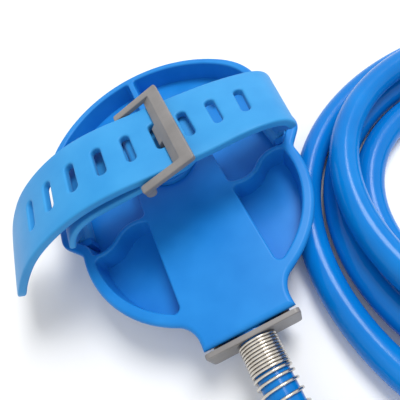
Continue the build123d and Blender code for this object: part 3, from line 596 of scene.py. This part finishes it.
def plate_shape(loops, thickness, rounding, steps=4):
    """A flat plate with rounded edges. The outer loop runs anticlockwise and holes clockwise."""
    shape = bmesh.new()
    flat = thickness / 2 - rounding
    quarter = [math.pi / 2 * step / steps for step in range(steps + 1)]
    arc = [(rounding * (1 - math.cos(a)), rounding * math.sin(a)) for a in quarter]
    levels = [(offset, -flat - rise) for offset, rise in reversed(arc)]
    levels += [(offset, flat + rise) for offset, rise in arc]
    rims = ([], [])
    for loop in loops:
        count = len(loop)
        inward = []
        for index in range(count):
            along = loop[(index + 1) % count] - loop[index - 1]
            inward.append(Vector((-along.y, along.x)).normalized())
        rings = []
        for offset, height in levels:
            spots = [point + normal * offset for point, normal in zip(loop, inward)]
            rings.append([shape.verts.new((spot.x, spot.y, height)) for spot in spots])
        for low, high in zip(rings, rings[1:]):
            bridge_rings(shape, low, high)
        for rim, ring in zip(rims, (rings[0], rings[-1])):
            rim.extend(shape.edges.get((ring[index - 1], ring[index])) for index in range(count))
    for rim in rims:
        bmesh.ops.triangle_fill(shape, use_beauty=True, edges=rim)
    return shape


def join_shape(shape, other, place):
    """Moves another shape to its place and adds it."""
    bmesh.ops.transform(other, matrix=place, verts=other.verts)
    mesh = bpy.data.meshes.new("joined")
    other.to_mesh(mesh)
    other.free()
    shape.from_mesh(mesh)
    bpy.data.meshes.remove(mesh)


def add_block(shape, corners, y_low, y_high, rounding):
    """Adds a rounded block along Y with (x, z, radius) corners on its side, in millimetres."""
    outline = rounded_loop(in_metres(corners))
    block = plate_shape([outline], (y_high - y_low) * MM, rounding * MM)
    middle = Matrix.Translation((0, (y_low + y_high) / 2 * MM, 0))
    join_shape(shape, block, middle @ Matrix.Rotation(math.pi / 2, 4, "X"))


def add_sleeve(shape, x, z, y_low, y_high, bore, radius, rounding, segments=48):
    """Adds a round sleeve along Y with rounded ends, in millimetres."""
    half = (y_high - y_low) / 2
    corners = [(bore, -half), (radius, -half), (radius, half), (bore, half)]
    outline = rounded_loop([(*corner, rounding) for corner in corners], steps=4)
    middle = Matrix.Translation(Vector((x, (y_low + y_high) / 2, z)) * MM)
    place = middle @ Matrix.Rotation(math.pi / 2, 4, "X")
    rings = []
    for segment in range(segments):
        angle = 2 * math.pi * segment / segments
        across, along = math.cos(angle) * MM, math.sin(angle) * MM
        spots = [Vector((p.x * across, p.x * along, p.y * MM)) for p in outline]
        rings.append([shape.verts.new(place @ spot) for spot in spots])
    for ring, after in zip(rings, rings[1:] + rings[:1]):
        bridge_rings(shape, ring, after)


def add_nub(shape, place):
    """Adds a hanging scrub nub: a flared root, a tapering stem and a round tip."""
    stem_end = NUB_HEIGHT - NUB_TIP_RADIUS
    profile = [*NUB_ROOT]
    for step in range(NUB_TIP_STEPS):
        angle = math.pi / 2 * step / NUB_TIP_STEPS
        drop = stem_end + NUB_TIP_RADIUS * math.sin(angle)
        profile.append((NUB_TIP_RADIUS * math.cos(angle), -drop))
    rings = []
    for radius, height in profile:
        ring = circle_loop(place.x, place.y, radius * MM, NUB_SIDES, clockwise=False)
        rings.append([shape.verts.new((spot.x, spot.y, place.z + height * MM)) for spot in ring])
    for upper, lower in zip(rings, rings[1:]):
        bridge_rings(shape, upper, lower)
    shape.faces.new(rings[0])
    shape.faces.new(rings[-1])


class BandLine:
    """A strap's line in the XZ plane: a smooth curve drawn by its corner points."""

    def __init__(self, corners, steps=24):
        spots = [Vector(corner) for corner in corners]
        middles = [(a + b) / 2 for a, b in zip(spots[1:-2], spots[2:-1])]
        starts = [spots[0], *middles]
        ends = [*middles, spots[-1]]
        self.points = [spots[0]]
        for start, corner, end in zip(starts, spots[1:-1], ends):
            for step in range(1, steps + 1):
                t = step / steps
                self.points.append(start * (1 - t) ** 2 + corner * 2 * t * (1 - t) + end * t * t)
        self.reach = [0.0]
        for a, b in zip(self.points, self.points[1:]):
            self.reach.append(self.reach[-1] + (b - a).length)
        self.length = self.reach[-1]

    def at(self, reach):
        """Point and direction so far along the line."""
        index = 0
        while index < len(self.points) - 2 and self.reach[index + 1] < reach:
            index += 1
        a, b = self.points[index], self.points[index + 1]
        share = (reach - self.reach[index]) / (self.reach[index + 1] - self.reach[index])
        before = self.points[max(index - 1, 0)]
        after = self.points[min(index + 2, len(self.points) - 1)]
        heading = (b - before).lerp(after - a, min(max(share, 0), 1)).normalized()
        return a + (b - a) * share, heading

    def reach_at_x(self, x):
        """How far along the line it first passes an x, going towards -X."""
        for index, (a, b) in enumerate(zip(self.points, self.points[1:])):
            if a.x >= x > b.x:
                stretch = self.reach[index + 1] - self.reach[index]
                return self.reach[index] + (a.x - x) / (a.x - b.x) * stretch
        raise ValueError("the line doesn't pass that x")


def bend_band(shape, line, side, swing=0.0, roll=0.0, weld=1e-7):
    """Cuts a flat band across at short steps and lays it along a line.

    side is 1 or -1, and turns its top outwards. swing and roll let its far edge stand out further
    and lower than the near one at the first bend.
    """
    cuts = int(line.length / STRAP_CUT_STEP)
    for cut in range(1, cuts):
        everything = shape.verts[:] + shape.edges[:] + shape.faces[:]
        spot = (line.length * cut / cuts * MM, 0, 0)
        bmesh.ops.bisect_plane(
            shape, geom=everything, plane_co=spot, plane_no=(1, 0, 0), dist=weld
        )
    for vert in shape.verts:
        reach = vert.co.x / MM
        spot, heading = line.at(reach)
        outward = Vector((heading.y, -heading.x)) * side
        bent = spot * MM + outward * vert.co.z
        rise = ease((reach - SHOULDER_START) / SHOULDER_RISE)
        fall = ease((SHOULDER_END - reach) / SHOULDER_FALL)
        twist = rise * fall * vert.co.y
        vert.co = (bent.x + swing * twist, STRAP_Y * MM + vert.co.y, bent.y - roll * twist)


def strap_outline(line, width):
    """A strap's flat outline: narrow between the lugs, wide above them, round at its loose end."""
    half = width / 2
    near = LEG_NEAR_Y - STRAP_Y
    far = LEG_FAR_Y - STRAP_Y
    leg = LEG_TOP_Z - PIN_Z
    corners = [
        (0, near, LEG_CORNER_RADIUS),
        (leg, near, LEG_WAIST_RADIUS),
        (leg + near + half, -half, LEG_WAIST_RADIUS),
        (line.length, -half, STRAP_END_RADIUS),
        (line.length, half, STRAP_END_RADIUS),
    ]
    if half > far + LEG_STEP_RADIUS:
        corners += [
            (leg + half - far, half, LEG_STEP_RADIUS),
            (leg, far, LEG_CORNER_RADIUS),
            (0, far, LEG_CORNER_RADIUS),
        ]
    else:
        corners.append((0, half, LEG_CORNER_RADIUS))
    return rounded_loop(in_metres(corners))


def add_pin_loop(shape, x):
    """Adds the loop that holds a strap to its pin."""
    add_sleeve(
        shape, x, PIN_Z, LEG_NEAR_Y, LEG_FAR_Y, PIN_HOLE_RADIUS, LOOP_RADIUS, LOOP_ROUNDING
    )


def coil_point(turn):
    """A point of the hose coil after so many turns: in along the table, up, and out on top."""
    lower = min(turn, COIL_LOWER_TURNS)
    upper = max(turn - COIL_LOWER_TURNS, 0)
    radius = COIL_OUTER_RADIUS - COIL_INWARD_STEP * lower + COIL_OUTWARD_STEP * upper
    top_share = upper / (COIL_TURNS - COIL_LOWER_TURNS)
    shift = COIL_TOP_SHIFT * math.sin(math.pi * top_share) ** 2
    slide = COIL_TOP_SLIDE * ease(upper / COIL_SLIDE_TURNS)
    angle = 2 * math.pi * turn - math.pi / 2
    across = radius * math.cos(angle)
    if across > 0:
        across *= COIL_RIGHT_SQUEEZE
    along = radius * math.sin(angle)
    if along < 0:
        along *= COIL_FRONT_SQUEEZE
    return (
        COIL_X - COIL_DRIFT * lower + slide + across,
        COIL_Y + COIL_DRIFT * lower + shift + along,
        LIE_Z + LAYER_RISE * ease(upper / COIL_CLIMB_TURNS),
    )


# Operators


class SPRAYER_OT_camera(bpy.types.Operator):
    """Set the camera where the photograph was taken from"""

    bl_idname = "sprayer.camera"
    bl_label = "Camera"

    def execute(self, context):
        camera = bpy.data.cameras.new("Photo_camera")
        camera.sensor_width = CAMERA_SENSOR
        camera.lens = CAMERA_LENS
        camera.clip_start = CAMERA_NEAREST * MM
        camera.dof.use_dof = False
        holder = bpy.data.objects.new("Photo_camera", camera)
        context.scene.collection.objects.link(holder)
        back = Vector(CAMERA_BACK).normalized()
        up = back.cross(Vector(CAMERA_RIGHT)).normalized()
        right = up.cross(back)
        turn = Matrix((right, up, back)).transposed().to_4x4()
        holder.matrix_world = Matrix.Translation(Vector(CAMERA_PLACE) * MM) @ turn
        context.scene.camera = holder
        return {"FINISHED"}


class SPRAYER_OT_hose(bpy.types.Operator):
    """Lay the PVC hose from the neck through its coil to the tap connector"""

    bl_idname = "sprayer.hose"
    bl_label = "Hose"

    def execute(self, context):
        sizes = context.scene.sprayer_sizes
        count = round(COIL_TURNS * COIL_POINTS_PER_TURN)
        turns = [COIL_TURNS * step / count for step in range(count + 1)]
        route = in_metres([*LEAD_POINTS, *map(coil_point, turns), *TAIL_POINTS])
        curve, spline = tube_curve("Hose", "NURBS", route, sizes.hose_radius, bevel_steps=10)
        curve.resolution_u = 6
        spline.order_u = 3
        spline.use_endpoint_u = True
        hose = add_piece(
            "Hose",
            curve,
            "PVC_gloss_blue",
            "sprayer",
            "hose_pvc",
            "hose_lead",
            "hose_coil",
            "hose_tail",
        )
        return {"FINISHED"}


class SPRAYER_OT_strain_relief(bpy.types.Operator):
    """Wind the steel spring over the hose where it leaves the neck"""

    bl_idname = "sprayer.strain_relief"
    bl_label = "Strain relief spring"

    def execute(self, context):
        sizes = context.scene.sprayer_sizes
        radius = sizes.spring_radius
        middle_z = NECK_HOSE_Z * MM
        pitches = [CLOSE_PITCH] * CLOSE_WINDINGS + [*OPEN_PITCHES]
        spots = []
        y = SPRING_START_Y
        for pitch, ahead in zip(pitches, [*pitches[1:], pitches[-1]]):
            for step in range(POINTS_PER_WINDING):
                share = step / POINTS_PER_WINDING
                angle = 2 * math.pi * share
                x, z = radius * math.cos(angle), radius * math.sin(angle) + middle_z
                spots.append((x, y * MM, z))
                y -= (pitch + (ahead - pitch) * share) / POINTS_PER_WINDING
        spots.append((radius, y * MM, middle_z))
        curve, spline = tube_curve(
            "Strain_relief_spring", "POLY", spots, sizes.wire_radius, bevel_steps=5
        )
        spline.use_smooth = True
        add_piece(
            "Strain_relief_spring",
            curve,
            "Spring_steel_drawn",
            "sprayer",
            "steel",
            "strain_relief_spring",
        )
        return {"FINISHED"}


class SPRAYER_OT_hand_strap(bpy.types.Operator):
    """Mould the slotted hand strap over its line"""

    bl_idname = "sprayer.hand_strap"
    bl_label = "Hand strap"

    def execute(self, context):
        sizes = context.scene.sprayer_sizes
        line = BandLine(HAND_STRAP_LINE)
        loops = [strap_outline(line, sizes.strap_width / MM)]
        engaged = line.reach_at_x(ENGAGED_X) * MM
        half_length = sizes.slot_length / 2
        half_width = sizes.slot_width / 2
        end_radius = half_width * SLOT_END_ROUND
        for slot in range(sizes.slot_count):
            middle = engaged + (slot - ENGAGED_SLOT) * sizes.slot_pitch
            corners = [
                (middle - half_width, -half_length, end_radius),
                (middle - half_width, half_length, end_radius),
                (middle + half_width, half_length, end_radius),
                (middle + half_width, -half_length, end_radius),
            ]
            loops.append(rounded_loop(corners))
        shape = plate_shape(loops, sizes.strap_thickness, sizes.strap_rounding)
        bend_band(shape, line, side=1, swing=SHOULDER_SWING, roll=SHOULDER_ROLL)
        add_pin_loop(shape, PIN_X)
        mesh = finished_mesh("Hand_strap", shape, STRAP_SHARP_DEGREES)
        add_piece("Hand_strap", mesh, "Silicone_blue", "sprayer", "strap_silicone", "hand_strap")
        return {"FINISHED"}


class SPRAYER_OT_buckle_strap(bpy.types.Operator):
    """Mould the shorter strap that carries the buckle's bar"""

    bl_idname = "sprayer.buckle_strap"
    bl_label = "Buckle strap"

    def execute(self, context):
        sizes = context.scene.sprayer_sizes
        line = BandLine(BUCKLE_STRAP_LINE)
        width = sizes.buckle_strap_width / MM
        outline = strap_outline(line, width)
        shape = plate_shape([outline], sizes.buckle_strap_thickness, sizes.strap_rounding)
        bend_band(shape, line, side=-1)
        add_pin_loop(shape, -PIN_X)
        near, far = STRAP_Y - width / 2, STRAP_Y + width / 2
        add_sleeve(
            shape, BAR_X, BAR_Z, near, far, BAR_HOLE_RADIUS, SLEEVE_RADIUS, SLEEVE_ROUNDING
        )
        mesh = finished_mesh("Buckle_strap", shape, STRAP_SHARP_DEGREES)
        add_piece(
            "Buckle_strap", mesh, "Silicone_blue", "sprayer", "strap_silicone", "buckle_strap"
        )
        return {"FINISHED"}


class SPRAYER_OT_buckle_frame(bpy.types.Operator):
    """Mould the flat grey frame that hinges on the buckle strap, with its tooth in a slot"""

    bl_idname = "sprayer.buckle_frame"
    bl_label = "Buckle frame"

    def execute(self, context):
        tilt = math.atan(FRAME_SLOPE)
        end = (FRAME_END_X - FRAME_EDGE_X) / math.cos(tilt)
        bar = (CROSS_BAR_X - FRAME_EDGE_X) / math.cos(tilt)
        outline = [
            (end, -FRAME_OUTER, ARM_END_RADIUS),
            (0, -FRAME_OUTER, FRAME_CORNER_RADIUS),
            (0, FRAME_OUTER, FRAME_CORNER_RADIUS),
            (end, FRAME_OUTER, ARM_END_RADIUS),
            (end, FRAME_INNER, ARM_END_RADIUS),
            (bar, FRAME_INNER, WINDOW_CORNER_RADIUS),
            (bar, -FRAME_INNER, WINDOW_CORNER_RADIUS),
            (end, -FRAME_INNER, ARM_END_RADIUS),
        ]
        loop = rounded_loop(in_metres(outline))
        plate = plate_shape([loop], FRAME_THICKNESS * MM, FRAME_ROUNDING * MM)
        place = (
            Matrix.Translation(Vector((FRAME_EDGE_X, STRAP_Y, FRAME_EDGE_Z)) * MM)
            @ Matrix.Rotation(-tilt, 4, "Y")
            @ Matrix.Translation((0, 0, -FRAME_THICKNESS / 2 * MM))
        )
        shape = bmesh.new()
        join_shape(shape, plate, place)
        near = STRAP_Y - FRAME_INNER - WALL_END_OVERLAP
        far = STRAP_Y + FRAME_INNER + WALL_END_OVERLAP
        add_block(shape, INNER_WALL, near, far, WALL_ROUNDING)
        tooth_near, tooth_far = STRAP_Y - TOOTH_HALF_WIDTH, STRAP_Y + TOOTH_HALF_WIDTH
        add_block(shape, TOOTH, tooth_near, tooth_far, TOOTH_ROUNDING)
        for side in (-1, 1):
            middle = STRAP_Y + side * (FRAME_INNER + EAR_OFFSET)
            add_block(shape, EAR, middle - EAR_HALF_WIDTH, middle + EAR_HALF_WIDTH, EAR_ROUNDING)
        round_bar = [
            (BAR_X + x * BAR_RADIUS, BAR_Z + z * BAR_RADIUS, BAR_RADIUS * BAR_ROUND)
            for x, z in SQUARE
        ]
        add_block(shape, round_bar, near, far, WALL_ROUNDING)
        mesh = finished_mesh("Buckle_frame", shape, FRAME_SHARP_DEGREES)
        add_piece("Buckle_frame", mesh, "ABS_satin_grey", "buckle", "grey_plastic", "buckle_frame")
        return {"FINISHED"}


class SPRAYER_OT_scrub_pad(bpy.types.Operator):
    """Mould the silicone scrub pad with its nubs and jet windows"""

    bl_idname = "sprayer.scrub_pad"
    bl_label = "Scrub pad"

    def execute(self, context):
        sizes = context.scene.sprayer_sizes
        top_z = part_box("scrub_pad")[1].z
        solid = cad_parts["scrub_pad"].data
        loops = [top_outline(solid, top_z, PAD_OUTLINE_STEP * MM)]
        holes = [(*spot, JET_WINDOW_RADIUS, JET_WINDOW_SIDES) for spot in ring_places(JET_RINGS)]
        holes += [(*spot, SCREW_POCKET_RADIUS, SCREW_POCKET_SIDES) for spot in SCREW_PLACES]
        for x, y, radius, sides in holes:
            loops.append(circle_loop(x * MM, y * MM, radius * MM, sides, clockwise=True))
        shape = plate_shape(loops, PAD_THICKNESS * MM, sizes.pad_rounding)
        middle_z = top_z - PAD_THICKNESS / 2 * MM
        bmesh.ops.translate(shape, verts=shape.verts, vec=(0, 0, middle_z))
        base_z = top_z - PAD_THICKNESS * MM
        for x, y in [(0.0, 0.0), *ring_places(NUB_RINGS)]:
            add_nub(shape, Vector((x * MM, y * MM, base_z)))
        mesh = finished_mesh("Scrub_pad", shape, PAD_SHARP_DEGREES)
        add_piece("Scrub_pad", mesh, "Silicone_blue", "sprayer", "pad_silicone", "scrub_pad")
        return {"FINISHED"}


class SPRAYER_OT_finishes(bpy.types.Operator):
    """Give every CAD piece that still shows its own finish"""

    bl_idname = "sprayer.finishes"
    bl_label = "Finishes"

    finishes = {
        "ABS_satin_blue": ("back_shell", "spray_plate", "press_button"),
        "ABS_satin_grey": ("inlet_cap", "valve_body", "valve_plunger"),
        "Nitrile_black": ("chamber_gasket", "plunger_o_ring", "sealing_washer"),
        "Spring_steel_drawn": ("plate_screws", "strap_pins", "return_spring"),
        "Brass_turned": ("hose_barb", "connector_tail"),
        "Aluminium_drawn": ("end_ferrule",),
        "Chrome_polished": ("swivel_nut",),
    }

    def execute(self, context):
        for finish, names in self.finishes.items():
            for name in names:
                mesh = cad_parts[name].data
                mesh.materials.clear()
                mesh.materials.append(get_finish(finish))
        return {"FINISHED"}


class SPRAYER_OT_stage(bpy.types.Operator):
    """Set the pale table, the white surroundings and the studio lamps"""

    bl_idname = "sprayer.stage"
    bl_label = "Stage"

    def execute(self, context):
        scene = context.scene
        self.add_floor(scene)
        self.add_world(scene)
        for lamp in LAMPS:
            self.add_lamp(scene, *lamp)
        scene.view_settings.view_transform = "Standard"
        return {"FINISHED"}

    def add_floor(self, scene):
        """Lays the table top."""
        half = scene.sprayer_sizes.floor_side / 2
        mesh = bpy.data.meshes.new("Table_top")
        mesh.from_pydata([(x * half, y * half, 0) for x, y in SQUARE], [], [(0, 1, 2, 3)])
        floor = bpy.data.objects.new("Table_top", mesh)
        scene.collection.objects.link(floor)
        tone = scene.sprayer_colours
        # Board, painted by roller: matt and almost even
        paint = moulded(
            "Painted_board_white",
            (tone.floor, tone.floor_deep),
            roughness=0.6,
            grain_mm=1.2,
            grain_depth_mm=0.004,
            mottle_mm=60,
        )
        mesh.materials.append(paint)

    def add_world(self, scene):
        """Makes a soft world that looks white to the camera and in reflections."""
        world = bpy.data.worlds.new("Studio")
        scene.world = world
        world.use_nodes = True
        tree = world.node_tree
        tree.nodes.clear()
        path = add_node(tree, "ShaderNodeLightPath").outputs
        seen = path["Is Camera Ray"]
        for ray in ("Is Glossy Ray", "Is Transmission Ray"):
            seen = add_node(
                tree,
                "ShaderNodeMath",
                settings={"operation": "ADD", "use_clamp": True},
                links={0: seen, 1: path[ray]},
            ).outputs["Value"]
        light, background = [
            add_node(
                tree, "ShaderNodeBackground", values={"Color": WHITE, "Strength": strength}
            ).outputs["Background"]
            for strength in (LIGHT_STRENGTH, BACKGROUND_STRENGTH)
        ]
        mix = add_node(
            tree, "ShaderNodeMixShader", links={0: seen, 1: light, 2: background}
        )
        add_node(tree, "ShaderNodeOutputWorld", links={"Surface": mix.outputs["Shader"]})

    def add_lamp(self, scene, name, place, side, watts):
        """Hangs a square softbox that points at the part."""
        lamp = bpy.data.lights.new(name, "AREA")
        lamp.shape = "SQUARE"
        lamp.size = side * MM
        lamp.energy = watts
        holder = bpy.data.objects.new(name, lamp)
        scene.collection.objects.link(holder)
        holder.location = Vector(place) * MM
        holder.rotation_euler = (-holder.location).to_track_quat("-Z", "Y").to_euler()


class SPRAYER_PT_panel(bpy.types.Panel):
    """Lists the pieces of the sprayer"""

    bl_idname = "SPRAYER_PT_panel"
    bl_label = "Bathing sprayer"
    bl_space_type = "VIEW_3D"
    bl_region_type = "UI"
    bl_category = "Sprayer"

    def draw(self, context):
        for operator in OPERATORS:
            self.layout.operator(operator.bl_idname)
        for group in (context.scene.sprayer_sizes, context.scene.sprayer_colours):
            for name in group.__annotations__:
                self.layout.prop(group, name)


OPERATORS = (
    SPRAYER_OT_camera,
    SPRAYER_OT_hose,
    SPRAYER_OT_strain_relief,
    SPRAYER_OT_hand_strap,
    SPRAYER_OT_buckle_strap,
    SPRAYER_OT_buckle_frame,
    SPRAYER_OT_scrub_pad,
    SPRAYER_OT_finishes,
    SPRAYER_OT_stage,
)
CLASSES = (SprayerSizes, SprayerColours, *OPERATORS, SPRAYER_PT_panel)


def register():
    """Registers the classes and their settings."""
    for each in CLASSES:
        bpy.utils.register_class(each)
    bpy.types.Scene.sprayer_sizes = PointerProperty(type=SprayerSizes)
    bpy.types.Scene.sprayer_colours = PointerProperty(type=SprayerColours)


def unregister():
    """Removes what register added."""
    del bpy.types.Scene.sprayer_colours
    del bpy.types.Scene.sprayer_sizes
    for each in reversed(CLASSES):
        bpy.utils.unregister_class(each)


def main():
    """Makes every piece in order."""
    register()
    bpy.ops.sprayer.camera()
    bpy.ops.sprayer.hose()
    bpy.ops.sprayer.strain_relief()
    bpy.ops.sprayer.hand_strap()
    bpy.ops.sprayer.buckle_strap()
    bpy.ops.sprayer.buckle_frame()
    bpy.ops.sprayer.scrub_pad()
    bpy.ops.sprayer.finishes()
    bpy.ops.sprayer.stage()
    bpy.context.view_layer.update()


if __name__ == "__main__":
    main()
